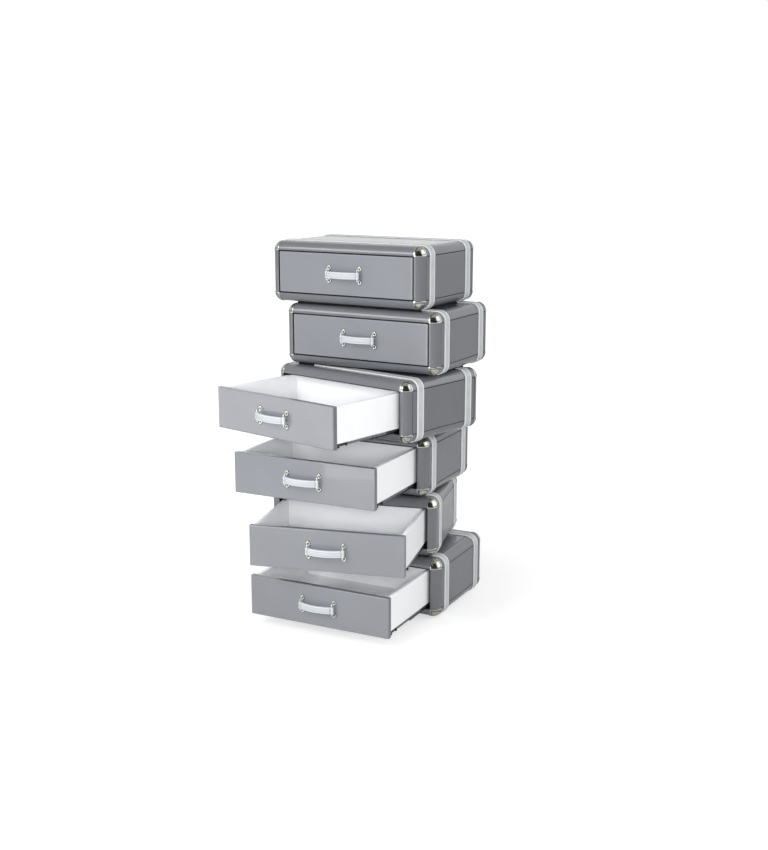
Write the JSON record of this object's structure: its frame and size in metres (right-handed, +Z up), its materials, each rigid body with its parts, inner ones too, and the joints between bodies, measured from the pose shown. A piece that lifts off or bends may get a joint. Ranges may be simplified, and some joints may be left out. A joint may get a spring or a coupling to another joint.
{
  "type": "chest on chest",
  "caption": "Tall chest of stacked, twisted suitcase-like cases, each with a sliding drawer, leather straps, metal corner caps and a bowed leather grip.",
  "frame": {"origin": "centre of the bottom case's footprint, on the floor under its glides", "axes": "+Z up along the tall stack; -Y is the front of the bottom case, the way its drawer opens; +X is to the right seen from the front"},
  "size_m": [0.7627, 0.8936, 1.37],
  "materials": {
    "grey_lacquer": "smooth grey lacquer",
    "white_board": "white painted board",
    "white_leather": "smooth white leather",
    "nickel": "polished nickel",
    "slide_steel": "dark coated steel",
    "pad_rubber": "matt rubber",
    "glide_plastic": "matt plastic"
  },
  "bodies": {
    "stack": {"case_1_carcass": "grey_lacquer", "case_1_corner_caps": "nickel", "case_1_straps": "white_leather", "case_2_carcass": "grey_lacquer", "case_2_corner_caps": "nickel", "case_2_straps": "white_leather", "case_3_carcass": "grey_lacquer", "case_3_corner_caps": "nickel", "case_3_straps": "white_leather", "case_4_carcass": "grey_lacquer", "case_4_corner_caps": "nickel", "case_4_straps": "white_leather", "case_5_carcass": "grey_lacquer", "case_5_corner_caps": "nickel", "case_5_straps": "white_leather", "case_6_carcass": "grey_lacquer", "case_6_corner_caps": "nickel", "case_6_straps": "white_leather", "cabinet_rails": "slide_steel", "stack_pads": "pad_rubber", "floor_glides": "glide_plastic"},
    "drawer_1": {"drawer_1_front": "grey_lacquer", "drawer_1_box": "white_board", "drawer_1_grip": "white_leather", "drawer_1_handle_loops": "nickel", "drawer_1_rails": "slide_steel"},
    "slide_1": {"slide_1_middle": "slide_steel"},
    "drawer_2": {"drawer_2_front": "grey_lacquer", "drawer_2_box": "white_board", "drawer_2_grip": "white_leather", "drawer_2_handle_loops": "nickel", "drawer_2_rails": "slide_steel"},
    "slide_2": {"slide_2_middle": "slide_steel"},
    "drawer_3": {"drawer_3_front": "grey_lacquer", "drawer_3_box": "white_board", "drawer_3_grip": "white_leather", "drawer_3_handle_loops": "nickel", "drawer_3_rails": "slide_steel"},
    "slide_3": {"slide_3_middle": "slide_steel"},
    "drawer_4": {"drawer_4_front": "grey_lacquer", "drawer_4_box": "white_board", "drawer_4_grip": "white_leather", "drawer_4_handle_loops": "nickel", "drawer_4_rails": "slide_steel"},
    "slide_4": {"slide_4_middle": "slide_steel"},
    "drawer_5": {"drawer_5_front": "grey_lacquer", "drawer_5_box": "white_board", "drawer_5_grip": "white_leather", "drawer_5_handle_loops": "nickel", "drawer_5_rails": "slide_steel"},
    "slide_5": {"slide_5_middle": "slide_steel"},
    "drawer_6": {"drawer_6_front": "grey_lacquer", "drawer_6_box": "white_board", "drawer_6_grip": "white_leather", "drawer_6_handle_loops": "nickel", "drawer_6_rails": "slide_steel"},
    "slide_6": {"slide_6_middle": "slide_steel"}
  },
  "joints": [
    {"name": "drawer_1_slide", "type": "slide", "parent": "stack", "child": "drawer_1", "axis": [0, -1, 0], "range_m": [-0.332, 0.018]},
    {"name": "slide_1_travel", "type": "slide", "parent": "stack", "child": "slide_1", "axis": [0, -1, 0], "range_m": [-0.166, 0.009]},
    {"name": "drawer_2_slide", "type": "slide", "parent": "stack", "child": "drawer_2", "axis": [0.2147, -0.9767, 0], "range_m": [-0.338, 0.012]},
    {"name": "slide_2_travel", "type": "slide", "parent": "stack", "child": "slide_2", "axis": [0.2147, -0.9767, 0], "range_m": [-0.169, 0.006]},
    {"name": "drawer_3_slide", "type": "slide", "parent": "stack", "child": "drawer_3", "axis": [0.0087, -1, 0], "range_m": [-0.332, 0.018]},
    {"name": "slide_3_travel", "type": "slide", "parent": "stack", "child": "slide_3", "axis": [0.0087, -1, 0], "range_m": [-0.166, 0.009]},
    {"name": "drawer_4_slide", "type": "slide", "parent": "stack", "child": "drawer_4", "axis": [-0.2419, -0.9703, 0], "range_m": [-0.332, 0.018]},
    {"name": "slide_4_travel", "type": "slide", "parent": "stack", "child": "slide_4", "axis": [-0.2419, -0.9703, 0], "range_m": [-0.166, 0.009]},
    {"name": "drawer_5_slide", "type": "slide", "parent": "stack", "child": "drawer_5", "axis": [-0.0506, -0.9987, 0], "range_m": [0, 0.35]},
    {"name": "slide_5_travel", "type": "slide", "parent": "stack", "child": "slide_5", "axis": [-0.0506, -0.9987, 0], "range_m": [0, 0.175]},
    {"name": "drawer_6_slide", "type": "slide", "parent": "stack", "child": "drawer_6", "axis": [-0.061, -0.9981, 0], "range_m": [0, 0.35]},
    {"name": "slide_6_travel", "type": "slide", "parent": "stack", "child": "slide_6", "axis": [-0.061, -0.9981, 0], "range_m": [0, 0.175]}
  ],
  "couplings": [
    {"joint": "slide_1_travel", "follows": "drawer_1_slide", "ratio": 0.5},
    {"joint": "slide_2_travel", "follows": "drawer_2_slide", "ratio": 0.5},
    {"joint": "slide_3_travel", "follows": "drawer_3_slide", "ratio": 0.5},
    {"joint": "slide_4_travel", "follows": "drawer_4_slide", "ratio": 0.5},
    {"joint": "slide_5_travel", "follows": "drawer_5_slide", "ratio": 0.5},
    {"joint": "slide_6_travel", "follows": "drawer_6_slide", "ratio": 0.5}
  ]
}
